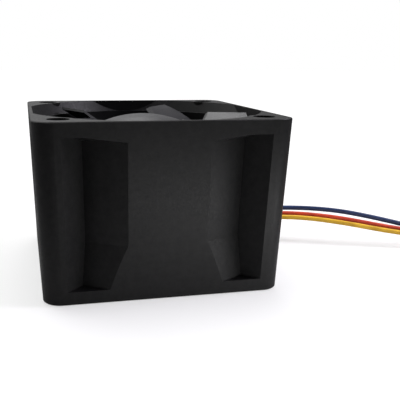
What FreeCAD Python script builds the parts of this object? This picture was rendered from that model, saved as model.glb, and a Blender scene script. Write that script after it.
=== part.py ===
import FreeCAD, Part
import math
import os
from FreeCAD import Placement, Rotation, Vector

# A 40 x 40 x 28 mm axial server fan. Millimetres. The origin is the centre of the outlet face, +Z points
# against the airflow, so the outlet is at z = 0 and the inlet is on top. The impeller turns counter-clockwise
# as seen from above. Local sketches of blades, stays and teeth have x radial and y tangential.

# ---------------------------------------------------------------- frame
SIDE = 40.0                 # square outline of the frame
DEPTH = 28.0                # from the outlet face to the inlet face
CORNER_R = 3.0              # rounded vertical corners
EDGE_CHAMFER = 0.12         # outer rim of both faces
FLANGE_T = 2.2              # plate left at each end of the side windows
POST_W = 3.9                # what a side window leaves of the flat side at each end
HOLE_INSET = 4.0            # from the sides to the middle of a mounting hole
HOLE_R = 1.75
BOSS_WALL = 0.7             # wall kept round a mounting hole where the mouths reach it

# ---------------------------------------------------------------- air duct
THROAT_WALL = 1.0           # between the throat and the flat sides, where they are nearest
DUCT_WALL = 2.0
SIDE_SKIN = 0.6             # thinnest wall, where the mouths meet the flat sides
MOUTH_H = 2.0               # height of the inlet bell mouth
MOUTH_STEP = 0.45           # small step at the foot of the bell mouth
MOUTH_FLARE = 1.55          # how much wider than the throat the bell mouth is at the inlet face
OUTLET_H = 9.35             # height of the widening towards the outlet
OUTLET_FLARE = 1.1          # how much wider than the throat the duct is at the outlet face
SKIRT_FLARE = 1.1           # how far the duct's outside widens down to the lower flange
COLLAR_H = 0.8              # short outer flare under the inlet flange
COLLAR_FLARE = 2.6

# ---------------------------------------------------------------- motor base
BASE_GAP = 0.5              # the base stands this far inside the outlet face
FLOOR_T = 1.2
CUP_WALL = 0.8
CUP_H = 6.3                 # height of the base cup
BOARD_LEDGE = 0.7           # width of the step that carries the circuit board
BOARD_Z = 5.0               # underside of the circuit board
BOARD_T = 0.8
FIT = 0.05                  # clearance between pieces that slide together by hand
SOCKET_H = 1.6              # collar that holds the foot of the bearing tube
SOCKET_WALL = 0.8
STAY_COUNT = 4
STAY_ANGLE = 20.0           # direction of the stay that carries the wires
STAY_T = 1.1
STAY_EDGE_T = 0.6
STAY_TOP_Z = 6.6
STAY_LEAN = 2.2             # tangential lean of a guide stay, against the swirl
STAY_BEND = 34.0            # degrees that a guide stay turns the air
STAY_ROOT = 0.5             # how far a stay runs into the wall at each end
TROUGH_WALL = 0.8
TROUGH_ROOF = 0.95
TAB_T = 0.8                 # catch that keeps the wires in the trough
TAB_LENGTH = 2.0

# ---------------------------------------------------------------- wires
WIRE_D = 1.0
WIRE_FACETS = 8             # a wire is drawn with this many flats
WIRE_PITCH = 1.15
WIRE_PLAY = 0.2             # beside the outer wires in the trough
PAD_R = 5.6                 # radius of the solder pads, where the wires start

# ---------------------------------------------------------------- impeller
TIP_GAP = 0.5
HUB_R = 8.8
HUB_WALL = 0.8
HUB_TOP_T = 1.1             # thickness of the hub's top at its shoulder
HUB_SHOULDER_Z = 25.1       # the straight side of the hub ends here
HUB_CROWN = 2.05            # rise of the domed top above the shoulder
HUB_GAP = 0.6               # between the base cup and the skirt of the hub
BLADE_COUNT = 5
BLADE_ANGLE = 48.0          # direction of the first blade's stacking line
BLADE_LEAD_Y = 5.4          # tangential place of the straight leading edge
BLADE_TOP_Z = 27.0
BLADE_LIFT = 0.15           # the leading edge rises by this much out to the tip
BLADE_CUT_R = 12.0          # inside this radius the leading edge is cut back towards the hub
BLADE_CUT = 3.6             # and meets the hub this much lower
BLADE_FOOT_Z = 9.0
BLADE_TRAIL_Y = -3.2        # trailing edge where it leaves the hub's middle plane
BLADE_SWEEP = 0.85          # tangential run of the trailing edge per millimetre outwards
BLADE_BEND = 40.0           # degrees of camber from leading to trailing edge
BLADE_ROOT_T = 1.15
BLADE_TIP_T = 0.75
BLADE_EDGE_T = 0.45

# ---------------------------------------------------------------- rotor
YOKE_WALL = 0.5
YOKE_TOP_T = 0.6
YOKE_FOOT = 0.2             # the yoke ends this far inside the hub's skirt
MAGNET_T = 1.0
MAGNET_FOOT = 0.3           # the magnet ends this far inside the yoke
MAGNET_H = 12.6
SHAFT_R = 1.0
SHAFT_FOOT_Z = 2.6
GROOVE_DEPTH = 0.25
CLIP_T = 0.25
CLIP_R = 1.7
CLIP_MOUTH = 0.9            # half width of the clip's opening
WASHER_T = 0.3
BUSH_R = 2.4
BUSH_FLANGE_R = 3.6
BUSH_FLANGE_T = 0.7
BUSH_NOSE = 1.0             # length of the bush below its flange
SPRING_WIRE_R = 0.12
SPRING_FACETS = 4           # its thin wire is drawn with this many flats
SPRING_TURNS = 2.5

# ---------------------------------------------------------------- bearings and their tube
BEARING_R = 2.5
BEARING_W = 2.5
RACE_WALL = 0.42
PITCH_R = 1.75
BALL_R = 0.38
BALL_FLAT = 0.35            # from a ball's centre to its flats
BALL_PLAY = 0.04
BALL_COUNT = 7
CAGE_HALF = 0.2
CAGE_TOP = 0.25
CAGE_PLAY = 0.03
CAGE_DEPTH = 0.85
SHIELD_T = 0.15
SHIELD_GAP = 0.08
LOWER_BEARING_Z = 4.0
UPPER_BEARING_Z = 17.8
SHOULDER = 0.4              # step inside the tube between the bearings
TUBE_WALL = 0.6
TUBE_FOOT_WALL = 1.0
TUBE_LIP = 0.1              # tube above the upper bearing
PLUG_HEAD = 0.5

# ---------------------------------------------------------------- stator
AIR_GAP = 0.3
TEETH = 4
CORE_Z = 10.2
CORE_H = 9.6
CORE_BACK = 1.1             # yoke ring of the laminations, round the bearing tube
TOOTH_W = 2.2
SHOE_T = 0.9
SLOT_MOUTH = 10.0           # degrees between neighbouring pole shoes
INSULATOR_T = 0.6
LINER_T = 0.3
FLANGE_H = 2.0              # outer flange of an insulator above the coils' seat
COIL_T = 1.2
COIL_PLAY = 0.1
PIN_HALF = 0.22             # half the width of a square winding pin
PIN_TAIL = 0.6              # pin below the circuit board

# ---------------------------------------------------------------- circuit board parts
CHIP_SIZE = (3.0, 3.9, 1.3)
CHIP_LEG = 0.35
CHIP_LEG_T = 0.15
CHIP_LEG_OUT = 0.5          # each leg reaches this far past the body
CHIP_STANDOFF = 0.1         # gap between the chip and the board
HALL_SIZE = (1.4, 2.8, 1.0)
RESISTOR_SIZE = (0.8, 1.6, 0.7)
CAPACITOR_SIZE = (1.6, 3.2, 1.4)
CHIP_ANGLE = 225.0          # between two of the winding pins, as are all the parts under the board
CAPACITOR_ANGLES = (135, 315)
RESISTOR_ANGLES = (105, 165, 285, 345)
PASSIVE_R = 5.3

# ---------------------------------------------------------------- loose ends of the wires
COIL_RING_R = 10.0          # the three wires side by side, wound up as a short spring
COIL_RING_W = 3.8
COIL_RING_H = 4.6
COIL_AT = (79.5, 1.1)
LEAD_IN_HEADING = -16.0     # degrees in plan, as the wires reach the coil
LEAD_IN = 8.0
LEAD_IN_Z = 0.9
LEAD_OUT_HEADING = 74.0
LEAD_OUT = 10.8
STUB_W = 3.6
STUB_IN_H = 1.7
STUB_OUT_H = 3.3

# ---------------------------------------------------------------- connector
PIN_COUNT = 3
PIN_PITCH = 2.54
PLUG_LENGTH = 12.4
PLUG_T = 4.9
PLUG_SIDE = 0.4
CAVITY = 1.9
RIB_W = 0.9
RIB_H = 0.7
RIB_LENGTH = 7.0
RAMP_H = 0.8
RAMP_LENGTH = 2.4
PLUG_ROUND = 0.3
WINDOW_LENGTH = 2.0         # openings over the terminals' catches
WINDOW_W = 1.0
WINDOW_AT = 4.6
TERMINAL_T = 0.25
TERMINAL_LENGTH = 8.0
TERMINAL_INSET = 1.2

# ---------------------------------------------------------------- sizes that follow from those above
side_half = SIDE / 2
hole_half = side_half - HOLE_INSET
throat_r = side_half - THROAT_WALL
mouth_r = throat_r + MOUTH_FLARE
outlet_r = throat_r + OUTLET_FLARE
duct_outer_r = throat_r + DUCT_WALL
tip_r = throat_r - TIP_GAP
yoke_r = HUB_R - HUB_WALL
magnet_r = yoke_r - YOKE_WALL
stator_r = magnet_r - MAGNET_T - AIR_GAP
floor_top = BASE_GAP + FLOOR_T
cup_top = BASE_GAP + CUP_H
hub_foot = cup_top + HUB_GAP
hub_inner_top = HUB_SHOULDER_Z - HUB_TOP_T
yoke_foot = hub_foot + YOKE_FOOT
magnet_foot = yoke_foot + MAGNET_FOOT
bush_flange_foot = hub_inner_top - YOKE_TOP_T - BUSH_FLANGE_T
bush_foot = bush_flange_foot - BUSH_NOSE
tube_r = BEARING_R + TUBE_WALL
tube_foot_r = BEARING_R + TUBE_FOOT_WALL
tube_top = UPPER_BEARING_Z + BEARING_W + TUBE_LIP
core_top = CORE_Z + CORE_H
core_back_r = tube_r + CORE_BACK
shoe_r = stator_r - SHOE_T
tube_step_z = CORE_Z - INSULATOR_T - FLANGE_H
board_r = HUB_R - CUP_WALL - FIT
board_bore_r = tube_foot_r + FIT
wire_z = BOARD_Z - WIRE_D / 2
trough_w = (PIN_COUNT - 1) * WIRE_PITCH + WIRE_D + 2 * WIRE_PLAY
trough_top = BOARD_Z + FIT
slot_floor = wire_z - WIRE_D / 2 - 0.1
coil_seat_r = core_back_r + COIL_PLAY
PAST = 1.0                  # what cuts a hole runs on past the faces by this much
UP = Vector(0, 0, 1)


def cylinder(radius, low, high):
    return Part.makeCylinder(radius, high - low, Vector(0, 0, low))


def ring(outer, inner, low, high):
    return cylinder(outer, low, high).cut(cylinder(inner, low, high))


def box(x0, x1, y0, y1, z0, z1):
    return Part.makeBox(x1 - x0, y1 - y0, z1 - z0, Vector(x0, y0, z0))


def turned(shape, angle):
    copy = shape.copy()
    copy.rotate(Vector(0, 0, 0), UP, angle)
    return copy


def placed(shape, at, angle=0.0):
    copy = shape.copy()
    copy.Placement = Placement(Vector(*at), Rotation(UP, angle)).multiply(copy.Placement)
    return copy


def around(shape, count, first=0.0):
    return [turned(shape, first + 360.0 * k / count) for k in range(count)]


def revolved(profile):
    """Solid of a closed outline of (radius, z) points, turned round the fan's axis."""
    points = [Vector(r, 0, z) for r, z in profile]
    face = Part.Face(Part.makePolygon(points + points[:1]))
    return face.revolve(Vector(0, 0, 0), UP, 360)


def round_section(radius, at, normal, facets):
    """Outline of a thin wire's section: a polygon of the same area as its circle."""
    turn = 2 * math.pi / facets
    reach = radius * math.sqrt(turn / math.sin(turn))
    along = normal.cross(UP).normalize()
    rise = along.cross(normal).normalize()
    corners = []
    for k in range(facets + 1):
        angle = (k + 0.5) * turn
        corners.append(at + (along * math.cos(angle) + rise * math.sin(angle)) * reach)
    return Part.makePolygon(corners)


def fused(first, others):
    return first.fuse(others).removeSplitter()


def save(name, shape):
    shape.exportStep("parts/" + name + ".step")


# ---------------------------------------------------------------- housing
def outer_block():
    block = box(-side_half, side_half, -side_half, side_half, 0, DEPTH)
    corners = [e for e in block.Edges if abs(e.tangentAt(e.FirstParameter).z) > 0.9]
    block = block.makeFillet(CORNER_R, corners)
    rims = [e for e in block.Edges if e.BoundBox.ZLength < 0.01]
    return block.makeChamfer(EDGE_CHAMFER, rims)


def duct_outside():
    """The duct seen from outside: a tube that flares into both flanges."""
    low = FLANGE_T
    high = DEPTH - FLANGE_T
    return revolved([
        (0, low),
        (duct_outer_r + SKIRT_FLARE, low),
        (duct_outer_r, OUTLET_H),
        (duct_outer_r, high - COLLAR_H),
        (duct_outer_r + COLLAR_FLARE, high),
        (0, high),
    ])


def window():
    """What is taken away between the flanges on one side: 45 degree walls beside the corner posts."""
    reach = side_half + PAST
    wide = side_half - POST_W + PAST
    points = [Vector(-wide, -reach, FLANGE_T), Vector(wide, -reach, FLANGE_T),
              Vector(0, wide - reach, FLANGE_T), Vector(-wide, -reach, FLANGE_T)]
    wedge = Part.Face(Part.makePolygon(points)).extrude(Vector(0, 0, DEPTH - 2 * FLANGE_T))
    return wedge.cut(duct_outside())


def bell_mouth():
    """Flared inlet, from a small step at its foot up to the inlet face and on by its own slope."""
    foot_z = DEPTH - MOUTH_H
    foot_r = throat_r + MOUTH_STEP
    slope = (mouth_r - foot_r) / MOUTH_H
    rim_r = mouth_r + slope * PAST
    return revolved([(0, foot_z), (foot_r, foot_z), (rim_r, DEPTH + PAST), (0, DEPTH + PAST)])


def passage():
    """All the air that is taken out of the block."""
    slope = OUTLET_FLARE / OUTLET_H
    inlet = DEPTH - MOUTH_H / 2
    end_r = outlet_r + slope * PAST
    throat = revolved([(0, -PAST), (end_r, -PAST), (throat_r, OUTLET_H), (throat_r, inlet), (0, inlet)])
    flat = side_half - SIDE_SKIN
    air = throat.fuse(bell_mouth()).common(box(-flat, flat, -flat, flat, -PAST, DEPTH + PAST))
    boss = placed(cylinder(HOLE_R + BOSS_WALL, -PAST, DEPTH + PAST), (hole_half, hole_half, 0))
    for b in around(boss, 4):
        air = air.cut(b)
    return air


def mounting_holes():
    hole = placed(cylinder(HOLE_R, -PAST, DEPTH + PAST), (hole_half, hole_half, 0))
    return around(hole, 4)


def base_cup():
    """Cup under the rotor: floor, wall with a ledge for the board, and a socket for the bearing tube."""
    cup = cylinder(HUB_R, BASE_GAP, cup_top)
    inside = HUB_R - CUP_WALL
    cup = cup.cut(cylinder(inside, BOARD_Z, cup_top + PAST))
    cup = cup.cut(cylinder(inside - BOARD_LEDGE, floor_top, BOARD_Z))
    socket = ring(tube_foot_r + SOCKET_WALL, tube_foot_r, floor_top, floor_top + SOCKET_H)
    return fused(cup, [socket])


def guide_stay():
    """Curved radial vane between the base cup and the duct; it straightens the swirl."""
    start = HUB_R - STAY_ROOT
    end = outlet_r + STAY_ROOT
    top = (-STAY_LEAN, STAY_TOP_Z)
    foot = (0.0, BASE_GAP)
    profile = aerofoil(start, top, foot, -STAY_BEND, STAY_EDGE_T, STAY_T)
    vane = Part.Face(profile).extrude(Vector(end - start, 0, 0))
    return vane.cut(cylinder(HUB_R - STAY_ROOT, 0, DEPTH))


def wire_stay():
    """Straight stay with a trough, open towards the outlet, that takes the wires out to the side."""
    half = trough_w / 2 + TROUGH_WALL
    end = outlet_r + STAY_ROOT
    bar = box(HUB_R - STAY_ROOT, end, -half, half, BASE_GAP, trough_top + TROUGH_ROOF)
    ridge = [e for e in bar.Edges if e.BoundBox.ZMin > trough_top and e.BoundBox.YLength < 0.01]
    return bar.makeFillet(TROUGH_ROOF * 0.7, ridge)


def trough():
    half = trough_w / 2
    under = box(HUB_R, throat_r, -half, half, -PAST, trough_top)
    slot = box(HUB_R - CUP_WALL - BOARD_LEDGE - PAST, SIDE, -half, half, slot_floor, trough_top)
    return under.fuse(slot)


def trough_tab():
    middle = (HUB_R + throat_r) / 2
    half = trough_w / 2
    under = slot_floor - TAB_T
    root = -half - TROUGH_WALL / 2
    return box(middle - TAB_LENGTH / 2, middle + TAB_LENGTH / 2, root, WIRE_PITCH / 2, under, slot_floor)


def housing():
    block = outer_block()
    for w in around(window(), 4):
        block = block.cut(w)
    block = block.cut(passage())
    for h in mounting_holes():
        block = block.cut(h)
    stays = around(guide_stay(), STAY_COUNT, STAY_ANGLE)[1:] + [turned(wire_stay(), STAY_ANGLE)]
    buried = side_half - SIDE_SKIN / 2
    inside = box(-buried, buried, -buried, buried, 0, DEPTH)
    body = fused(block, [base_cup()] + [s.common(inside) for s in stays])
    body = body.cut(turned(trough(), STAY_ANGLE))
    body = body.fuse(turned(trough_tab(), STAY_ANGLE))
    body = body.cut(cylinder(BEARING_R, -PAST, floor_top))
    return body.removeSplitter()


def bearing_plug():
    """Push-in cap under the lower bearing."""
    flange = cylinder(BEARING_R, BASE_GAP, floor_top)
    hollow = cylinder(BEARING_R - PLUG_HEAD, BASE_GAP + PLUG_HEAD, floor_top)
    return flange.cut(hollow)


# ---------------------------------------------------------------- blade sections
def aerofoil(x, top, foot, bend, edge_t, middle_t):
    """Closed curved section in the plane x: a circular camber line from top to foot, given as (y, z).

    bend is the angle in degrees by which the camber line turns, positive where it bulges to the left of
    its way down. The section is edge_t thick at its square ends and middle_t thick in its middle.
    """
    a = Vector(x, *top)
    b = Vector(x, *foot)
    chord = b - a
    along = Vector(chord).normalize()
    normal = Vector(0, along.z, -along.y)
    side = 1 if bend > 0 else -1
    half = math.radians(abs(bend)) / 2
    middle = (a + b) * 0.5 + normal * (side * chord.Length / 2 * math.tan(half / 2))
    start_dir = along * math.cos(half) + normal * (side * math.sin(half))
    end_dir = along * math.cos(half) - normal * (side * math.sin(half))
    start_n = Vector(0, start_dir.z, -start_dir.y) * (edge_t / 2)
    end_n = Vector(0, end_dir.z, -end_dir.y) * (edge_t / 2)
    middle_n = normal * (middle_t / 2)
    return Part.Wire([
        Part.Arc(a + start_n, middle + middle_n, b + end_n).toShape(),
        Part.makeLine(b + end_n, b - end_n),
        Part.Arc(b - end_n, middle - middle_n, a - start_n).toShape(),
        Part.makeLine(a - start_n, a + start_n),
    ])


def blade_section(x, lead_z, thickness):
    trail_y = BLADE_TRAIL_Y - (x - HUB_R / 2) * BLADE_SWEEP
    return aerofoil(x, (BLADE_LEAD_Y, lead_z), (trail_y, BLADE_FOOT_Z), BLADE_BEND, BLADE_EDGE_T, thickness)


def blade():
    """Twisted blade, lofted outwards through flat sections and trimmed by the hub and the tip circle."""
    root_x = HUB_R / 2
    end_x = tip_r + 0.2
    sections = []
    steps = 4
    for k in range(steps + 1):
        t = k / steps
        x = root_x + t * (end_x - root_x)
        thickness = BLADE_ROOT_T + t * (BLADE_TIP_T - BLADE_ROOT_T)
        sections.append(blade_section(x, BLADE_TOP_Z + BLADE_LIFT * t, thickness))
    loft = Part.makeLoft(sections, True, False)
    return loft.common(ring(tip_r, HUB_R - HUB_WALL / 2, 0, DEPTH))


def blade_relief():
    """Cone round the hub that takes off the inner corner of every leading edge."""
    slope = BLADE_CUT / (BLADE_CUT_R - HUB_R)
    top = BLADE_TOP_Z + BLADE_LIFT
    inner = HUB_R - HUB_WALL / 2
    low = top - (BLADE_CUT_R - inner) * slope
    return revolved([(inner, low), (BLADE_CUT_R, top), (BLADE_CUT_R, DEPTH), (inner, DEPTH)])


def hub():
    """Cup with a shallow domed top; the rotor's yoke sits inside."""
    shoulder = Vector(HUB_R, 0, HUB_SHOULDER_Z)
    crown = Vector(0, 0, HUB_SHOULDER_Z + HUB_CROWN)
    dome_r = (HUB_R ** 2 + HUB_CROWN ** 2) / (2 * HUB_CROWN)
    half_r = HUB_R / 2
    between = Vector(half_r, 0, crown.z - dome_r + math.sqrt(dome_r ** 2 - half_r ** 2))
    inside = [(0, hub_inner_top), (yoke_r, hub_inner_top), (yoke_r, hub_foot), (HUB_R, hub_foot)]
    corners = [crown] + [Vector(r, 0, z) for r, z in inside] + [shoulder]
    edges = [Part.makeLine(a, b) for a, b in zip(corners, corners[1:])]
    edges.append(Part.Arc(shoulder, between, crown).toShape())
    return Part.Face(Part.Wire(edges)).revolve(Vector(0, 0, 0), UP, 360)


def impeller():
    trimmed = blade().cut(blade_relief())
    return fused(hub(), around(trimmed, BLADE_COUNT, BLADE_ANGLE))


# ---------------------------------------------------------------- rotor
def rotor_yoke():
    cup = ring(yoke_r, magnet_r, yoke_foot, hub_inner_top - YOKE_TOP_T)
    top = ring(yoke_r, BUSH_R, hub_inner_top - YOKE_TOP_T, hub_inner_top)
    return fused(cup, [top])


def magnet_ring():
    return ring(magnet_r, magnet_r - MAGNET_T, magnet_foot, magnet_foot + MAGNET_H)


def shaft_bush():
    return revolved([
        (SHAFT_R, bush_foot),
        (BUSH_R, bush_foot),
        (BUSH_R, bush_flange_foot),
        (BUSH_FLANGE_R, bush_flange_foot),
        (BUSH_FLANGE_R, hub_inner_top - YOKE_TOP_T),
        (BUSH_R, hub_inner_top - YOKE_TOP_T),
        (BUSH_R, hub_inner_top),
        (SHAFT_R, hub_inner_top),
    ])


def clip_top():
    return LOWER_BEARING_Z - WASHER_T


def shaft():
    low = clip_top() - CLIP_T
    neck = SHAFT_R - GROOVE_DEPTH
    return revolved([
        (0, SHAFT_FOOT_Z),
        (SHAFT_R, SHAFT_FOOT_Z),
        (SHAFT_R, low),
        (neck, low),
        (neck, low + CLIP_T),
        (SHAFT_R, low + CLIP_T),
        (SHAFT_R, hub_inner_top),
        (0, hub_inner_top),
    ])


def retaining_clip():
    low = clip_top() - CLIP_T
    disc = ring(CLIP_R, SHAFT_R - GROOVE_DEPTH, low, low + CLIP_T)
    return disc.cut(box(0, CLIP_R + PAST, -CLIP_MOUTH / 2, CLIP_MOUTH / 2, low - PAST, low + PAST))


def thrust_washer():
    return ring(SHAFT_R + RACE_WALL, SHAFT_R, clip_top(), LOWER_BEARING_Z)


def preload_spring():
    low = UPPER_BEARING_Z + BEARING_W + SPRING_WIRE_R
    height = bush_foot - SPRING_WIRE_R - low
    radius = SHAFT_R + RACE_WALL - SPRING_WIRE_R
    path = Part.makeHelix(height / SPRING_TURNS, height, radius)
    path.translate(Vector(0, 0, low))
    section = round_section(SPRING_WIRE_R, Vector(radius, 0, low), Vector(0, 1, 0), SPRING_FACETS)
    return Part.Wire(path).makePipeShell([section], True, True)


# ---------------------------------------------------------------- ball bearings
def groove(z):
    """V-shaped raceways on both sides of the balls' pitch circle."""
    reach = (BALL_R + BALL_PLAY) * math.sqrt(2)
    return revolved([(PITCH_R - reach, z), (PITCH_R, z - reach), (PITCH_R + reach, z), (PITCH_R, z + reach)])


def inner_ring(low):
    return ring(SHAFT_R + RACE_WALL, SHAFT_R, low, low + BEARING_W).cut(groove(low + BEARING_W / 2))


def outer_ring(low):
    """Outer ring with its two crimped shields, which nearly reach the inner ring."""
    body = ring(BEARING_R, BEARING_R - RACE_WALL, low, low + BEARING_W).cut(groove(low + BEARING_W / 2))
    shield = ring(BEARING_R - RACE_WALL, SHAFT_R + RACE_WALL + SHIELD_GAP, low, low + SHIELD_T)
    other = shield.translated(UP * (BEARING_W - SHIELD_T))
    return fused(body, [shield, other])


def balls(low):
    """Balls drawn as three crossed cubes' common shape, which keeps their faces few."""
    at = Vector(PITCH_R, 0, low + BEARING_W / 2)
    size = 2 * BALL_FLAT
    cube = Part.makeBox(size, size, size, at - Vector(BALL_FLAT, BALL_FLAT, BALL_FLAT))
    ball = cube
    for axis in (Vector(1, 0, 0), Vector(0, 1, 0), Vector(0, 0, 1)):
        tilted = cube.copy()
        tilted.rotate(at, axis, 45)
        ball = ball.common(tilted)
    return around(ball, BALL_COUNT)


def ball_cage(low):
    """Crown cage: a ring under the balls with fingers up between them."""
    middle = low + BEARING_W / 2
    cage = ring(PITCH_R + CAGE_HALF, PITCH_R - CAGE_HALF, middle - CAGE_DEPTH, middle + CAGE_TOP)
    half = BALL_R + BALL_PLAY + CAGE_PLAY
    pocket = box(PITCH_R - half, PITCH_R + half, -half, half, middle - half, middle + half)
    for p in around(pocket, BALL_COUNT):
        cage = cage.cut(p)
    return cage


def bearing_tube():
    """Brass tube: thick foot in the housing's socket, a step under the stator and a bore for the bearings."""
    narrow = BEARING_R - SHOULDER
    lower_seat = LOWER_BEARING_Z + BEARING_W
    return revolved([
        (BEARING_R, floor_top),
        (tube_foot_r, floor_top),
        (tube_foot_r, tube_step_z),
        (tube_r, tube_step_z),
        (tube_r, tube_top),
        (BEARING_R, tube_top),
        (BEARING_R, UPPER_BEARING_Z),
        (narrow, UPPER_BEARING_Z),
        (narrow, lower_seat),
        (BEARING_R, lower_seat),
    ])


# ---------------------------------------------------------------- stator
def core_outline(grow, low, high):
    """Ring and teeth of the laminations; grow widens the teeth."""
    half = TOOTH_W / 2 + grow
    shape = cylinder(core_back_r, low, high)
    tooth = box(0, shoe_r + SHOE_T / 2, -half, half, low, high)
    return shape.fuse(around(tooth, TEETH)).cut(cylinder(tube_r, low - PAST, high + PAST))


def shoes(inner, outer, low, high):
    """Pole shoes as sectors of a ring, one per tooth."""
    arc = ring(outer, inner, low, high)
    half = math.radians(SLOT_MOUTH) / 2 * stator_r
    slot = box(0, stator_r + PAST, -half, half, low - PAST, high + PAST)
    for s in around(slot, TEETH, 180.0 / TEETH):
        arc = arc.cut(s)
    return arc


def stator_core():
    body = core_outline(0, CORE_Z, core_top)
    return fused(body, [shoes(shoe_r, stator_r, CORE_Z, core_top)])


def insulator(seat, outward):
    """Moulded half that covers one end of the laminations and lines the teeth to their middle."""
    plate = sorted((seat, seat + outward * INSULATOR_T))
    wall = sorted((seat, seat + outward * (INSULATOR_T + FLANGE_H)))
    liner = sorted((seat, seat - outward * CORE_H / 2))
    cover = core_outline(LINER_T, *plate).fuse(shoes(shoe_r, stator_r - LINER_T, *plate))
    collar = ring(core_back_r, tube_r, *wall)
    flange = shoes(shoe_r, stator_r - LINER_T, *wall)
    half = TOOTH_W / 2 + LINER_T
    side = box(core_back_r - 0.2, shoe_r, TOOTH_W / 2, half, *liner)
    sides = around(side, TEETH) + around(side.mirror(Vector(0, 0, 0), Vector(0, 1, 0)), TEETH)
    reach = ring(shoe_r, core_back_r, *liner)
    sides = [s.common(reach) for s in sides]
    return fused(cover, [collar, flange] + sides)


def winding_pins():
    """Pins from the lower insulator's outer wall, in the middle of each pole shoe, down through the board."""
    reach = shoe_r + (SHOE_T - LINER_T) / 2
    foot = BOARD_Z - PIN_TAIL
    pin = box(reach - PIN_HALF, reach + PIN_HALF, -PIN_HALF, PIN_HALF, foot, CORE_Z - INSULATOR_T)
    return around(pin, TEETH)


def windings():
    """One coil of enamelled wire round each tooth, between the insulators' walls."""
    inner = TOOTH_W / 2 + LINER_T
    low = CORE_Z - INSULATOR_T
    high = core_top + INSULATOR_T
    outer = box(core_back_r, shoe_r, -inner - COIL_T, inner + COIL_T, low - COIL_T, high + COIL_T)
    edges = [e for e in outer.Edges if e.BoundBox.XLength > 0.1]
    outer = outer.makeChamfer(COIL_T * 0.5, edges)
    coil = outer.cut(box(0, stator_r, -inner, inner, low, high))
    coil = coil.common(ring(shoe_r - COIL_PLAY, coil_seat_r, low - COIL_T - PAST, high + COIL_T + PAST))
    return around(coil, TEETH)


# ---------------------------------------------------------------- circuit board
def circuit_board():
    board = ring(board_r, board_bore_r, BOARD_Z, BOARD_Z + BOARD_T)
    for pin in winding_pins():
        board = board.cut(pin)
    return board


def on_board(size, radius, angle, foot):
    depth, width, height = size
    block = box(radius - depth / 2, radius + depth / 2, -width / 2, width / 2, foot, foot + height)
    return turned(block, angle)


def driver_chip():
    """Eight-legged driver under the board."""
    depth, width, height = CHIP_SIZE
    foot = BOARD_Z - height
    body = on_board((depth, width, height - CHIP_STANDOFF), PASSIVE_R, CHIP_ANGLE, foot)
    reach = width / 2 + CHIP_LEG_OUT
    leg = box(-CHIP_LEG / 2, CHIP_LEG / 2, -reach, reach, BOARD_Z - CHIP_LEG_T, BOARD_Z)
    legs = []
    for k in range(4):
        x = PASSIVE_R + (k - 1.5) * depth / 4
        legs.append(turned(placed(leg, (x, 0, 0)), CHIP_ANGLE))
    return fused(body, legs)


def hall_sensor():
    """Position sensor on top of the board, under the magnet's edge, in a gap between two teeth."""
    angle = 180.0 / TEETH
    return on_board(HALL_SIZE, board_r - HALL_SIZE[0] / 2 - 3 * FIT, angle, BOARD_Z + BOARD_T)


def board_capacitors():
    foot = BOARD_Z - CAPACITOR_SIZE[2]
    return [on_board(CAPACITOR_SIZE, PASSIVE_R, a, foot) for a in CAPACITOR_ANGLES]


def board_resistors():
    foot = BOARD_Z - RESISTOR_SIZE[2]
    return [on_board(RESISTOR_SIZE, PASSIVE_R, a, foot) for a in RESISTOR_ANGLES]


# ---------------------------------------------------------------- wires
def coil_tangent(heading, z):
    a = math.radians(heading - 90)
    return Vector(COIL_AT[0] + COIL_RING_R * math.cos(a), COIL_AT[1] + COIL_RING_R * math.sin(a), z)


def direction(heading):
    a = math.radians(heading)
    return Vector(math.cos(a), math.sin(a), 0)


def across(heading):
    return direction(heading + 90)


def wire_route(offset, loose):
    """From the solder pad along the trough, then the loose points, to the start of the coil."""
    out = direction(STAY_ANGLE)
    side = across(STAY_ANGLE) * (offset * WIRE_PITCH)
    start = out * PAD_R + side + UP * wire_z
    bend = out * (side_half + 4.2) + side + UP * wire_z
    lane = across(LEAD_IN_HEADING) * (offset * WIRE_PITCH)
    end = coil_tangent(LEAD_IN_HEADING, LEAD_IN_Z) - direction(LEAD_IN_HEADING) * LEAD_IN + lane
    return [start, bend] + [Vector(*p) for p in loose] + [end]


YELLOW_LOOSE = [(29.2, 6.9, 5.0), (36.4, 4.6, 5.1), (44.0, 1.2, 4.45), (52.0, -1.8, 3.2), (60.2, -4.9, 2.4)]
RED_LOOSE = [(28.9, 8.6, 5.35), (35.7, 6.3, 5.6), (44.0, 3.2, 5.0), (52.0, 0.2, 3.7), (60.4, -2.9, 2.6)]
BLUE_LOOSE = [(28.6, 10.5, 6.0), (36.0, 8.6, 6.3), (44.0, 5.7, 6.1), (52.0, 2.8, 4.8), (60.6, -0.9, 3.0)]


def tube(name, points, diameter):
    """Round cord along straight runs joined by tangent arcs, as large as the two runs beside them allow."""
    edges = []
    start = points[0]
    radii = []
    for before, point, after in zip(points, points[1:], points[2:]):
        inward = point - before
        outward = after - point
        half_turn = inward.getAngle(outward) / 2
        shorter = min(inward.Length, outward.Length)
        cut = 0.45 * shorter
        radii.append(cut / math.tan(half_turn))
        a = point - inward.normalize() * cut
        b = point + outward.normalize() * cut
        towards = (inward * -1 + outward).normalize()
        rise = radii[-1] / math.cos(half_turn) - radii[-1]
        edges.append(Part.makeLine(start, a))
        edges.append(Part.Arc(a, point + towards * rise, b).toShape())
        start = b
    edges.append(Part.makeLine(start, points[-1]))
    path = Part.Wire(edges)
    first = points[1] - points[0]
    section = round_section(diameter / 2, points[0], first, WIRE_FACETS)
    solid = path.makePipeShell([section], True, False)
    expected = math.pi * diameter ** 2 / 4 * path.Length
    print(name, "length %.1f" % path.Length, "radii", ["%.1f" % r for r in radii],
          "volume ratio %.4f" % (solid.Volume / expected))
    return solid


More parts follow.
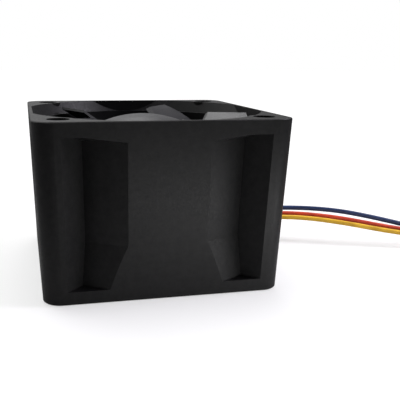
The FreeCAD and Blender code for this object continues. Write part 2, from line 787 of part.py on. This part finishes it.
def lead_in():
    """Flat bundle where the wires run straight into the coil's lowest turn."""
    bundle = box(-LEAD_IN, 0, -STUB_W / 2, STUB_W / 2, 0, STUB_IN_H)
    return placed(bundle, coil_tangent(LEAD_IN_HEADING, 0), LEAD_IN_HEADING)


def lead_out():
    """Bundle that leaves the coil's top turn and comes down to the plug."""
    bundle = box(0, LEAD_OUT, -STUB_W / 2, STUB_W / 2, COIL_RING_H - STUB_OUT_H, COIL_RING_H)
    return placed(bundle, coil_tangent(LEAD_OUT_HEADING, 0), LEAD_OUT_HEADING)


def wire_coil():
    """Outer shape of the spare wire, wound up and lying on the table."""
    half = COIL_RING_W / 2
    turns = ring(COIL_RING_R + half, COIL_RING_R - half, 0, COIL_RING_H)
    turns = placed(turns, (COIL_AT[0], COIL_AT[1], 0))
    return fused(turns, [lead_in(), lead_out()])


# ---------------------------------------------------------------- connector
def on_plug(shape):
    """From the plug's own frame, x out of its wire end, to its place at the end of the coil."""
    face = coil_tangent(LEAD_OUT_HEADING, 0) + direction(LEAD_OUT_HEADING) * LEAD_OUT
    return placed(shape, face, LEAD_OUT_HEADING)


def plug_lanes():
    return [(k - (PIN_COUNT - 1) / 2) * PIN_PITCH for k in range(PIN_COUNT)]


def connector_housing():
    """Three-way crimp housing with polarising ribs, a locking ramp and a window over each terminal."""
    half = PIN_COUNT * PIN_PITCH / 2 + PLUG_SIDE / 2
    body = box(0, PLUG_LENGTH, -half, half, 0, PLUG_T)
    body = body.makeFillet(PLUG_ROUND, [e for e in body.Edges if e.BoundBox.XLength > PLUG_LENGTH / 2])
    rib_start = PLUG_LENGTH - RIB_LENGTH
    sunk = PLUG_T - PLUG_ROUND
    raised = []
    for y in (RIB_W - half, half - RIB_W):
        raised.append(box(rib_start, PLUG_LENGTH, y - RIB_W / 2, y + RIB_W / 2, sunk, PLUG_T + RIB_H))
    side = -PIN_PITCH / 2
    wedge = [Vector(rib_start, side, sunk), Vector(rib_start, side, PLUG_T + RAMP_H),
             Vector(rib_start + RAMP_LENGTH, side, sunk), Vector(rib_start, side, sunk)]
    raised.append(Part.Face(Part.makePolygon(wedge)).extrude(Vector(0, PIN_PITCH, 0)))
    body = body.fuse(raised)
    half_cavity = CAVITY / 2
    for y in plug_lanes():
        low = PLUG_T / 2 - half_cavity
        body = body.cut(box(-PAST, PLUG_LENGTH + PAST, y - half_cavity, y + half_cavity, low, low + CAVITY))
        catch = box(0, WINDOW_LENGTH, -WINDOW_W / 2, WINDOW_W / 2, PLUG_T / 2, PLUG_T + RAMP_H + PAST)
        body = body.cut(placed(catch, (WINDOW_AT, y, 0)))
    return on_plug(body.removeSplitter())


def connector_terminals():
    """Crimped box terminals, one in each cavity of the plug."""
    outer = CAVITY / 2
    bore = outer - TERMINAL_T
    middle = PLUG_T / 2
    sleeves = []
    for y in plug_lanes():
        sleeve = box(0, TERMINAL_LENGTH, y - outer, y + outer, middle - outer, middle + outer)
        hollow = box(TERMINAL_T, TERMINAL_LENGTH, y - bore, y + bore, middle - bore, middle + bore)
        sleeves.append(on_plug(placed(sleeve.cut(hollow), (TERMINAL_INSET, 0, 0))))
    return sleeves


# ---------------------------------------------------------------- all pieces
def group(solids):
    return Part.makeCompound(solids)


os.makedirs("parts", exist_ok=True)
save("housing", housing())
save("bearing_plug", bearing_plug())
save("bearing_tube", bearing_tube())
save("stator_core", stator_core())
lower_insulator = insulator(CORE_Z, -1)
for winding_pin in winding_pins():
    lower_insulator = lower_insulator.cut(winding_pin)
save("lower_insulator", lower_insulator)
save("upper_insulator", insulator(core_top, 1))
save("windings", group(windings()))
save("winding_pins", group(winding_pins()))
save("circuit_board", circuit_board())
save("driver_chip", driver_chip())
save("hall_sensor", hall_sensor())
save("board_capacitors", group(board_capacitors()))
save("board_resistors", group(board_resistors()))

save("impeller", impeller())
save("rotor_yoke", rotor_yoke())
save("magnet_ring", magnet_ring())
save("shaft_bush", shaft_bush())
save("shaft", shaft())
save("retaining_clip", retaining_clip())
save("thrust_washer", thrust_washer())
save("preload_spring", preload_spring())

for place, foot_z in (("lower", LOWER_BEARING_Z), ("upper", UPPER_BEARING_Z)):
    save(place + "_bearing_outer_ring", outer_ring(foot_z))
    save(place + "_bearing_inner_ring", inner_ring(foot_z))
    save(place + "_bearing_balls", group(balls(foot_z)))
    save(place + "_bearing_cage", ball_cage(foot_z))

coil = wire_coil()
save("yellow_wire", tube("yellow_wire", wire_route(-1, YELLOW_LOOSE), WIRE_D).cut(coil))
save("red_wire", tube("red_wire", wire_route(0, RED_LOOSE), WIRE_D).cut(coil))
save("blue_wire", tube("blue_wire", wire_route(1, BLUE_LOOSE), WIRE_D).cut(coil))
save("wire_coil", coil)
save("connector_housing", connector_housing())
save("connector_terminals", group(connector_terminals()))
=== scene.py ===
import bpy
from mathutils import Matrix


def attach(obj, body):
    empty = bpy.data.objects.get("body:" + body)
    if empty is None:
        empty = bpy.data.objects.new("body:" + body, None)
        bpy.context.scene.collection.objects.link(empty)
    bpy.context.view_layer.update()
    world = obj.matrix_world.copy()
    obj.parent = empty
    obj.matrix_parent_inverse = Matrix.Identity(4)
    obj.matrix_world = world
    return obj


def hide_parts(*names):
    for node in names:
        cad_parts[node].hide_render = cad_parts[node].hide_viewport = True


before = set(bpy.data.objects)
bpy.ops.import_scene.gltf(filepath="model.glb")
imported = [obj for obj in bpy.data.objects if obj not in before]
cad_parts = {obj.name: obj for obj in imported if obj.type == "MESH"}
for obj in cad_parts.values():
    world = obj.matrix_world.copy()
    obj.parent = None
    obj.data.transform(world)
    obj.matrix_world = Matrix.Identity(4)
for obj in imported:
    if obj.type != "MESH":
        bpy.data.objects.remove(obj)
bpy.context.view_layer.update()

import math

import bmesh
import bpy
from mathutils import Matrix, Vector

# ------------------------------------------------------------------ table and light
# A white sheet on a grey table that the camera sees white all over, in a white room that is bright behind the
# fan and dim in front of it and on its right. A wide soft panel hangs above and behind the fan, a smaller one
# stands high on the right, and a small weak one stands on the sheet before the front wall.
TABLE_SIZE = 3.0
TABLE_GAP = 0.0001          # keeps the table's face off the fan's foot
SHEET_EDGE = (0.04, 0.12)   # distances from the fan's axis between which the sheet gives way to the table
SHEET_GREY = 0.45
TABLE_GREY = 0.10
GLOW_NEAR = 0.50            # added for the camera alone, on the sheet and on the table
GLOW_FAR = 1.0

ROOM_DEPTH = (-0.4, 0.5)    # how far a direction points to the back, from the dim side to the bright one
ROOM_FRONT = 0.12
ROOM_BACK = 0.62
ROOM_SIDE = (0.0, 0.6)      # how far a direction points to the right, where the room darkens
ROOM_RIGHT = 0.25

FAN_MIDDLE = (0, 0, 0.02)
FRONT_FOOT = (0.006, -0.02, -0.003)


def start_material(name):
    """A new material, its node tree and its main shader."""
    material = bpy.data.materials.new(name)
    material.use_nodes = True
    return material, material.node_tree, material.node_tree.nodes["Principled BSDF"]


def map_range(tree, value, source, low, high):
    """The value socket, carried from the range source to the range from low to high."""
    node = tree.nodes.new("ShaderNodeMapRange")
    node.inputs["From Min"].default_value = source[0]
    node.inputs["From Max"].default_value = source[1]
    node.inputs["To Min"].default_value = low
    node.inputs["To Max"].default_value = high
    tree.links.new(value, node.inputs["Value"])
    return node.outputs["Result"]


def combine(tree, operation, first, second):
    """The two sockets, put through one maths operation."""
    node = tree.nodes.new("ShaderNodeMath")
    node.operation = operation
    tree.links.new(first, node.inputs[0])
    tree.links.new(second, node.inputs[1])
    return node.outputs["Value"]


table_mesh = bpy.data.meshes.new("table")
shape = bmesh.new()
bmesh.ops.create_grid(shape, x_segments=1, y_segments=1, size=TABLE_SIZE / 2)
bmesh.ops.translate(shape, verts=shape.verts[:], vec=(0, 0, -TABLE_GAP))
shape.to_mesh(table_mesh)
shape.free()
table = bpy.data.objects.new("table", table_mesh)
bpy.context.collection.objects.link(table)

paper, tree, skin = start_material("table_paper")
skin.inputs["Roughness"].default_value = 0.9
skin.inputs["Specular IOR Level"].default_value = 0.1
away = tree.nodes.new("ShaderNodeVectorMath")
away.operation = "LENGTH"
tree.links.new(tree.nodes.new("ShaderNodeTexCoord").outputs["Object"], away.inputs[0])
glow = tree.nodes.new("ShaderNodeEmission")
whitening = map_range(tree, away.outputs["Value"], SHEET_EDGE, GLOW_NEAR, GLOW_FAR)
shade = map_range(tree, away.outputs["Value"], SHEET_EDGE, SHEET_GREY, TABLE_GREY)
tree.links.new(shade, skin.inputs["Base Color"])
tree.links.new(whitening, glow.inputs["Strength"])
unlit = tree.nodes.new("ShaderNodeEmission")
unlit.inputs["Strength"].default_value = 0.0
seen = tree.nodes.new("ShaderNodeMixShader")
tree.links.new(tree.nodes.new("ShaderNodeLightPath").outputs["Is Camera Ray"], seen.inputs["Fac"])
tree.links.new(unlit.outputs["Emission"], seen.inputs[1])
tree.links.new(glow.outputs["Emission"], seen.inputs[2])
both = tree.nodes.new("ShaderNodeAddShader")
tree.links.new(skin.outputs["BSDF"], both.inputs[0])
tree.links.new(seen.outputs["Shader"], both.inputs[1])
tree.links.new(both.outputs["Shader"], tree.nodes["Material Output"].inputs["Surface"])
table.data.materials.append(paper)

room = bpy.data.worlds.new("room")
bpy.context.scene.world = room
room.use_nodes = True
tree = room.node_tree
split = tree.nodes.new("ShaderNodeSeparateXYZ")
tree.links.new(tree.nodes.new("ShaderNodeTexCoord").outputs["Generated"], split.inputs["Vector"])
from_depth = map_range(tree, split.outputs["Y"], ROOM_DEPTH, ROOM_FRONT, ROOM_BACK)
from_side = map_range(tree, split.outputs["X"], ROOM_SIDE, 1.0, ROOM_RIGHT)
level = combine(tree, "MULTIPLY", from_depth, from_side)
to_camera = tree.nodes.new("ShaderNodeLightPath").outputs["Is Camera Ray"]
white = combine(tree, "MAXIMUM", level, to_camera)
tree.links.new(white, tree.nodes["Background"].inputs["Strength"])
tree.nodes["Background"].inputs["Color"].default_value = (1, 1, 1, 1)


def panel(name, place, target, size, power, tint=(1, 1, 1)):
    """Soft lamp of the given width and height that the camera doesn't see, turned towards its target."""
    lamp = bpy.data.lights.new(name, "AREA")
    lamp.shape = "RECTANGLE"
    lamp.size, lamp.size_y = size
    lamp.energy = power
    lamp.color = tint
    holder = bpy.data.objects.new(name, lamp)
    holder.location = place
    holder.rotation_euler = (Vector(target) - Vector(place)).to_track_quat("-Z", "Y").to_euler()
    holder.visible_camera = False
    bpy.context.collection.objects.link(holder)


panel("top_panel", place=(-0.05, 0.17, 0.42), target=FAN_MIDDLE, size=(0.40, 0.40), power=2.3)
panel("right_panel", place=(0.31, -0.05, 0.30), target=FAN_MIDDLE, size=(0.16, 0.16), power=1.3,
      tint=(0.93, 0.89, 1.0))
panel("front_panel", place=(0.028, -0.058, 0.005), target=FRONT_FOOT, size=(0.075, 0.008), power=0.0152)

# ------------------------------------------------------------------ camera
# It stands close in front of the fan, a little to the left, and looks down on it, with its lens shifted up
# and to the right. Angles are in radians.
CAMERA_AT = (-0.020754, -0.1, 0.036473)
CAMERA_YAW = -0.2149
CAMERA_PITCH = -0.4041
CAMERA_ROLL = -0.0098
SENSOR_WIDTH = 36.0         # millimetres, like the lens
LENS = 49.38
LENS_SHIFT = (0.1307, 0.2280)
NEAREST = 0.002

lens = bpy.data.cameras.new("camera")
lens.sensor_width = SENSOR_WIDTH
lens.lens = LENS
lens.shift_x, lens.shift_y = LENS_SHIFT
lens.clip_start = NEAREST
camera = bpy.data.objects.new("camera", lens)
level_turn = Matrix.Rotation(CAMERA_YAW, 4, "Z") @ Matrix.Rotation(CAMERA_PITCH + math.pi / 2, 4, "X")
camera.matrix_world = Matrix.Translation(CAMERA_AT) @ level_turn @ Matrix.Rotation(-CAMERA_ROLL, 4, "Z")
bpy.context.collection.objects.link(camera)
bpy.context.scene.camera = camera
bpy.context.scene.view_settings.view_transform = "Standard"

# ------------------------------------------------------------------ lead wires
# Three stranded copper wires in soft PVC, one millimetre thick. They are soldered to pads on the board, lie
# side by side in the trough of one stay and run loose over the table; the rest is wound up beside the fan.
WIRE_D = 0.001
WIRE_PITCH = 0.00115        # between neighbours, in the trough and in the coil
WIRE_Z = 0.0045             # in the trough
TROUGH_TURN = math.radians(20)
PAD_RUN = 0.0056            # from the fan's axis to the pads, along the trough
TROUGH_RUN = 0.0242         # to the last straight point

COIL_CENTRE = (0.0795, 0.0011)
COIL_R = 0.010
COIL_FOOT = 0.00055         # height of the lowest turn's middle
COIL_IN = math.radians(-16)
COIL_IN_RUN = 0.008         # length that the wires take to come down to the coil
COIL_IN_Z = 0.0009
COIL_IN_LIFT = 0.0001
COIL_OUT = math.radians(74)
COIL_OUT_RUN = 0.0108       # from the coil to the plug's face
TURNS = 3.25
POINTS_PER_TURN = 20
TURN_RISE = 0.00108

PLUG_PITCH = 0.00254
PLUG_MIDDLE = 0.00245       # height of the terminals
WIRE_INSIDE_PLUG = 0.0025
PLUG_MOUTH = 0.0006         # straight stretch inside the plug's face
SPREAD_START = 0.0042       # past the coil, where the wires begin to part for the plug
SPREAD_END = 0.0078         # and where they are nearly a plug's pitch apart
SPREAD_DROP = 0.0003
PARTED = (0.2, 0.8)         # shares of the whole spread at those two places

YELLOW_LOOSE = [(0.0292, 0.0069, 0.0050), (0.0364, 0.0046, 0.0051), (0.0440, 0.0012, 0.00445),
                (0.0520, -0.0018, 0.0032), (0.0602, -0.0049, 0.0024)]
RED_LOOSE = [(0.0289, 0.0086, 0.00535), (0.0357, 0.0063, 0.0056), (0.0440, 0.0032, 0.0050),
             (0.0520, 0.0002, 0.0037), (0.0604, -0.0029, 0.0026)]
BLUE_LOOSE = [(0.0286, 0.0105, 0.0060), (0.0360, 0.0086, 0.0063), (0.0440, 0.0057, 0.0061),
              (0.0520, 0.0028, 0.0048), (0.0606, -0.0009, 0.0030)]

YELLOW = (0.72, 0.42, 0.026, 1)
YELLOW_DEEP = (0.55, 0.30, 0.015, 1)
RED = (0.56, 0.058, 0.020, 1)
RED_DEEP = (0.42, 0.035, 0.012, 1)
BLUE = (0.013, 0.032, 0.105, 1)
BLUE_DEEP = (0.008, 0.021, 0.072, 1)
PATCHES_PER_METRE = 350
PATCH_RANGE = (0.35, 0.62)
PVC_GRAIN_PER_METRE = 5000
PVC_GRAIN_DEPTH = 0.00003


def heading(angle):
    return Vector((math.cos(angle), math.sin(angle), 0))


def left_of(angle):
    return Vector((-math.sin(angle), math.cos(angle), 0))


def at_height(point, z):
    return Vector((point.x, point.y, z))


def wire_route(lane, loose):
    """Points of one wire from its pad to its terminal; lane is -1, 0 or 1 across the flat bundle."""
    offset = lane * WIRE_PITCH
    aside = left_of(TROUGH_TURN) * offset
    points = [at_height(heading(TROUGH_TURN) * run + aside, WIRE_Z) for run in (PAD_RUN, TROUGH_RUN)]
    points += [Vector(p) for p in loose]

    middle = Vector((COIL_CENTRE[0], COIL_CENTRE[1], 0))
    radius = COIL_R - offset
    touch = middle - left_of(COIL_IN) * radius
    points.append(at_height(touch - heading(COIL_IN) * COIL_IN_RUN, COIL_IN_Z))
    points.append(at_height(touch - heading(COIL_IN) * COIL_IN_RUN / 3, COIL_FOOT + COIL_IN_LIFT))
    for k in range(round(TURNS * POINTS_PER_TURN) + 1):
        turn = COIL_IN + 2 * math.pi * k / POINTS_PER_TURN
        points.append(at_height(middle - left_of(turn) * radius, COIL_FOOT + TURN_RISE * k / POINTS_PER_TURN))

    top = points[-1].z
    leave = middle - left_of(COIL_OUT) * radius
    spread = left_of(COIL_OUT) * lane * (PLUG_PITCH - WIRE_PITCH)
    to_plug = ((SPREAD_START, PARTED[0], top),
               (SPREAD_END, PARTED[1], top - SPREAD_DROP),
               (COIL_OUT_RUN + PLUG_MOUTH, 1, PLUG_MIDDLE),
               (COIL_OUT_RUN + WIRE_INSIDE_PLUG, 1, PLUG_MIDDLE))
    for run, share, z in to_plug:
        points.append(at_height(leave + heading(COIL_OUT) * run + spread * share, z))
    return points


def own_place(tree):
    """The piece's own coordinates, in metres."""
    return tree.nodes.new("ShaderNodeTexCoord").outputs["Object"]


def noise(tree, vector, scale, detail, roughness=0.5):
    node = tree.nodes.new("ShaderNodeTexNoise")
    node.inputs["Scale"].default_value = scale
    node.inputs["Detail"].default_value = detail
    node.inputs["Roughness"].default_value = roughness
    tree.links.new(vector, node.inputs["Vector"])
    return node.outputs["Fac"]


def colour_between(tree, value, source, start_colour, end_colour):
    """Colours the shader from start_colour to end_colour as the value socket crosses the source range."""
    node = tree.nodes.new("ShaderNodeValToRGB")
    first, last = node.color_ramp.elements
    first.position, last.position = source
    first.color = start_colour
    last.color = end_colour
    tree.links.new(value, node.inputs["Fac"])
    tree.links.new(node.outputs["Color"], tree.nodes["Principled BSDF"].inputs["Base Color"])


def relief(tree, height, strength, depth):
    """Gives the shader's surface a relief of the given depth in metres."""
    node = tree.nodes.new("ShaderNodeBump")
    node.inputs["Strength"].default_value = strength
    node.inputs["Distance"].default_value = depth
    tree.links.new(height, node.inputs["Height"])
    tree.links.new(node.outputs["Normal"], tree.nodes["Principled BSDF"].inputs["Normal"])


def insulation(name, colour, deep):
    """Soft PVC: nearly even colour, slightly darker in patches, with a dull waxy shine."""
    pvc, tree, skin = start_material(name)
    place = own_place(tree)
    patches = noise(tree, place, PATCHES_PER_METRE, detail=3)
    colour_between(tree, patches, PATCH_RANGE, deep, colour)
    fine = noise(tree, place, PVC_GRAIN_PER_METRE, detail=2)
    relief(tree, fine, strength=0.15, depth=PVC_GRAIN_DEPTH)
    skin.inputs["Roughness"].default_value = 0.38
    skin.inputs["Specular IOR Level"].default_value = 0.3
    return pvc


def lead_wire(name, lane, loose, pvc, *cad_nodes):
    points = wire_route(lane, loose)
    curve = bpy.data.curves.new(name, "CURVE")
    curve.dimensions = "3D"
    curve.resolution_u = 8
    curve.bevel_depth = WIRE_D / 2
    curve.bevel_resolution = 4
    curve.use_fill_caps = True
    line = curve.splines.new("NURBS")
    line.points.add(len(points) - 1)
    for spot, point in zip(line.points, points):
        spot.co = (*point, 1)
    line.order_u = 3
    line.use_endpoint_u = True
    wire = bpy.data.objects.new(name, curve)
    bpy.context.collection.objects.link(wire)
    curve.materials.append(pvc)
    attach(wire, "frame")
    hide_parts(*cad_nodes)
    return wire


yellow_pvc = insulation("yellow_pvc", YELLOW, YELLOW_DEEP)
red_pvc = insulation("red_pvc", RED, RED_DEEP)
blue_pvc = insulation("blue_pvc", BLUE, BLUE_DEEP)
yellow_lead = lead_wire("yellow_lead", -1, YELLOW_LOOSE, yellow_pvc, "yellow_wire", "wire_coil")
red_lead = lead_wire("red_lead", 0, RED_LOOSE, red_pvc, "red_wire")
blue_lead = lead_wire("blue_lead", 1, BLUE_LOOSE, blue_pvc, "blue_wire")

# ------------------------------------------------------------------ housing
# The square frame with its duct, base cup and stays: one injection moulding in black glass-filled PBT, with a
# fine matt grain. A small press-in cap of the same plastic closes the bearing bore from below.
MOTTLES_PER_METRE = 900
MOTTLE_RANGE = (0.36, 0.66)
GRAIN_RANGE = (0.3, 0.7)
GRAIN_SHEEN = (-0.06, 0.08)         # added to the roughness at the grain's two ends


def moulding(name, dark, pale, grain, depth, rough, shine_level=0.18):
    """Moulded plastic: mottled between two colours, with grain of the given size and depth in metres."""
    plastic, tree, skin = start_material(name)
    place = own_place(tree)
    clouds = noise(tree, place, MOTTLES_PER_METRE, detail=6, roughness=0.7)
    colour_between(tree, clouds, MOTTLE_RANGE, dark, pale)
    fine = noise(tree, place, 1 / grain, detail=4)
    shine = map_range(tree, fine, GRAIN_RANGE, rough + GRAIN_SHEEN[0], rough + GRAIN_SHEEN[1])
    tree.links.new(shine, skin.inputs["Roughness"])
    relief(tree, fine, strength=0.5, depth=depth)
    skin.inputs["Specular IOR Level"].default_value = shine_level
    return plastic


def finish_node(node, material):
    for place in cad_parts[node].material_slots:
        place.material = material


housing_plastic = moulding("housing_plastic",
                           dark=(0.0068, 0.0068, 0.0070, 1), pale=(0.0120, 0.0119, 0.0120, 1),
                           grain=0.00035, depth=0.000012, rough=0.46)
finish_node("housing", housing_plastic)
finish_node("bearing_plug", housing_plastic)

# ------------------------------------------------------------------ impeller
# Domed hub and five twisted blades in one injection moulding, in a smoother black PBT than the frame's. The
# hub is pushed over the steel yoke that carries the magnet.
impeller_plastic = moulding("impeller_plastic",
                            dark=(0.011, 0.011, 0.0125, 1), pale=(0.021, 0.021, 0.0235, 1),
                            grain=0.0002, depth=0.00001, rough=0.40, shine_level=0.36)
finish_node("impeller", impeller_plastic)

# ------------------------------------------------------------------ rotor metal
# The drawn steel yoke and the shaft are plain bright steel, the clip and the spring are spring steel, and the
# bush that joins shaft and yoke is turned brass.
RING_STRETCH = (0.05, 0.05, 1)      # draws the marks out across the axis, so that they lie in rings
MARK_RANGE = (0.3, 0.7)
MARK_SHADE = 0.8
MARK_SHEEN = (-0.08, 0.12)          # added to the roughness from one mark to the next
MARK_DEPTH = 0.00001


def bright_metal(name, colour, rough, rings):
    """Metal with fine lines round the fan's axis, as turning, drawing or grinding leaves; rings per metre."""
    metal, tree, skin = start_material(name)
    stretch = tree.nodes.new("ShaderNodeMapping")
    stretch.inputs["Scale"].default_value = RING_STRETCH
    tree.links.new(own_place(tree), stretch.inputs["Vector"])
    marks = noise(tree, stretch.outputs["Vector"], rings, detail=3)
    shine = map_range(tree, marks, (0, 1), rough + MARK_SHEEN[0], rough + MARK_SHEEN[1])
    tree.links.new(shine, skin.inputs["Roughness"])
    darker = [channel * MARK_SHADE for channel in colour]
    colour_between(tree, marks, MARK_RANGE, (*darker, 1), (*colour, 1))
    relief(tree, marks, strength=0.2, depth=MARK_DEPTH)
    skin.inputs["Metallic"].default_value = 1.0
    return metal


bearing_steel = bright_metal("bearing_steel", (0.66, 0.66, 0.68), 0.22, 9000)
drawn_steel = bright_metal("drawn_steel", (0.52, 0.53, 0.55), 0.38, 4000)
spring_steel = bright_metal("spring_steel", (0.45, 0.45, 0.47), 0.32, 9000)
turned_brass = bright_metal("turned_brass", (0.72, 0.50, 0.20), 0.28, 7000)
finish_node("rotor_yoke", drawn_steel)
finish_node("shaft", bearing_steel)
finish_node("shaft_bush", turned_brass)
finish_node("retaining_clip", spring_steel)
finish_node("preload_spring", spring_steel)

# ------------------------------------------------------------------ magnet and washer
# The magnet is a ring of ferrite powder bound in rubber, glued into the yoke. The washer under the lower
# bearing is plain nylon, like the two ball cages.
bonded_ferrite = moulding("bonded_ferrite", dark=(0.035, 0.030, 0.028, 1), pale=(0.075, 0.068, 0.062, 1),
                          grain=0.00008, depth=0.00001, rough=0.6)
natural_nylon = moulding("natural_nylon", dark=(0.62, 0.52, 0.32, 1), pale=(0.72, 0.64, 0.44, 1),
                         grain=0.0002, depth=0.000005, rough=0.4)
finish_node("magnet_ring", bonded_ferrite)
finish_node("thrust_washer", natural_nylon)

# ------------------------------------------------------------------ ball bearings
# Two miniature deep-groove bearings, one at each end of the brass tube. The ground rings, the balls and the
# crimped shields are chrome steel; the cages are moulded nylon.
for bearing in ("lower_bearing", "upper_bearing"):
    finish_node(bearing + "_outer_ring", bearing_steel)
    finish_node(bearing + "_inner_ring", bearing_steel)
    finish_node(bearing + "_balls", bearing_steel)
    finish_node(bearing + "_cage", natural_nylon)

# ------------------------------------------------------------------ bearing tube
# Brass tube, turned from bar and pressed into the socket in the middle of the frame's motor base. It carries
# both bearings inside and the stator outside.
finish_node("bearing_tube", turned_brass)

# ------------------------------------------------------------------ laminated core
# A stack of stamped sheets of silicon steel, about a third of a millimetre thick, with dark varnish between
# them. The stack is pushed over the tube and has four teeth for the windings.
SHEET_T = 0.00035
VARNISH = (0.05, 0.045, 0.04, 1)
SHEET_STEEL = (0.42, 0.42, 0.44, 1)
SHEET_RANGE = (0.05, 0.35)          # where the varnish gives way to steel in one wave
SHEET_RELIEF = 0.00003

laminations, tree, skin = start_material("laminations")
sheets = tree.nodes.new("ShaderNodeTexWave")
sheets.bands_direction = "Z"
sheets.inputs["Scale"].default_value = math.pi / (10 * SHEET_T)
sheets.inputs["Distortion"].default_value = 0.4
tree.links.new(own_place(tree), sheets.inputs["Vector"])
colour_between(tree, sheets.outputs["Fac"], SHEET_RANGE, VARNISH, SHEET_STEEL)
relief(tree, sheets.outputs["Fac"], strength=0.4, depth=SHEET_RELIEF)
skin.inputs["Metallic"].default_value = 0.8
skin.inputs["Roughness"].default_value = 0.45
finish_node("stator_core", laminations)

# ------------------------------------------------------------------ insulators
# Two halves moulded in pale nylon and pushed over the core from both ends, so that the windings don't touch
# its steel.
insulator_nylon = moulding("insulator_nylon", dark=(0.70, 0.68, 0.60, 1), pale=(0.80, 0.79, 0.72, 1),
                           grain=0.0003, depth=0.000005, rough=0.45)
finish_node("lower_insulator", insulator_nylon)
finish_node("upper_insulator", insulator_nylon)

# ------------------------------------------------------------------ windings
# Enamelled copper wire, 0.15 mm thick, machine-wound round each insulated tooth. Each turn is a ridge on the
# coil's outside, and the copper is painted darker in the grooves between the turns as painted shade.
MAGNET_WIRE = 0.00015
# The groove colour is painted shade between neighbouring turns; the ridge colour is the copper's own.
COPPER_PAINTED_SHADE = (0.20, 0.055, 0.015, 1)
COPPER_RIDGE = (0.62, 0.22, 0.07, 1)
TURN_RELIEF = 0.00004

enamel, tree, skin = start_material("enamelled_copper")
flat = tree.nodes.new("ShaderNodeVectorMath")
flat.operation = "MULTIPLY"
flat.inputs[1].default_value = (1, 1, 0)
reach = tree.nodes.new("ShaderNodeVectorMath")
reach.operation = "LENGTH"
turns = tree.nodes.new("ShaderNodeMath")
turns.operation = "MULTIPLY"
turns.inputs[1].default_value = 2 * math.pi / MAGNET_WIRE
ridge = tree.nodes.new("ShaderNodeMath")
ridge.operation = "SINE"
tree.links.new(own_place(tree), flat.inputs[0])
tree.links.new(flat.outputs["Vector"], reach.inputs[0])
tree.links.new(reach.outputs["Value"], turns.inputs[0])
tree.links.new(turns.outputs["Value"], ridge.inputs[0])
# Painted shade: the copper colour darkens from each ridge down into the groove beside it.
colour_between(tree, ridge.outputs["Value"], (0, 1), COPPER_PAINTED_SHADE, COPPER_RIDGE)
relief(tree, ridge.outputs["Value"], strength=0.6, depth=TURN_RELIEF)
skin.inputs["Metallic"].default_value = 0.7
skin.inputs["Roughness"].default_value = 0.35
finish_node("windings", enamel)

# ------------------------------------------------------------------ circuit board and its parts
# A ring of glass laminate with green solder resist. The driver, the hall sensor, two capacitors and four
# resistors are soldered to it, and the tinned pins of the windings come through.
solder_resist = moulding("solder_resist", dark=(0.012, 0.085, 0.040, 1), pale=(0.020, 0.14, 0.065, 1),
                         grain=0.0004, depth=0.00001, rough=0.35)
chip_epoxy = moulding("chip_epoxy", dark=(0.016, 0.016, 0.017, 1), pale=(0.026, 0.026, 0.028, 1),
                      grain=0.00006, depth=0.000008, rough=0.55)
ceramic = moulding("capacitor_ceramic", dark=(0.40, 0.28, 0.17, 1), pale=(0.50, 0.38, 0.25, 1),
                   grain=0.0001, depth=0.000004, rough=0.4)
resistor_glaze = moulding("resistor_glaze", dark=(0.03, 0.03, 0.035, 1), pale=(0.05, 0.05, 0.06, 1),
                          grain=0.0001, depth=0.000004, rough=0.3)
tin = bright_metal("tin_plate", (0.68, 0.67, 0.63), 0.34, 6000)
finish_node("circuit_board", solder_resist)
finish_node("driver_chip", chip_epoxy)
finish_node("hall_sensor", chip_epoxy)
finish_node("board_capacitors", ceramic)
finish_node("board_resistors", resistor_glaze)
finish_node("winding_pins", tin)

# ------------------------------------------------------------------ connector
# Three-way plug on the ends of the wires: a housing moulded in black nylon, with a tinned box terminal inside
# for each wire, crimped on.
plug_nylon = moulding("plug_nylon", dark=(0.020, 0.020, 0.021, 1), pale=(0.032, 0.032, 0.034, 1),
                      grain=0.00025, depth=0.00001, rough=0.42)
finish_node("connector_housing", plug_nylon)
finish_node("connector_terminals", tin)
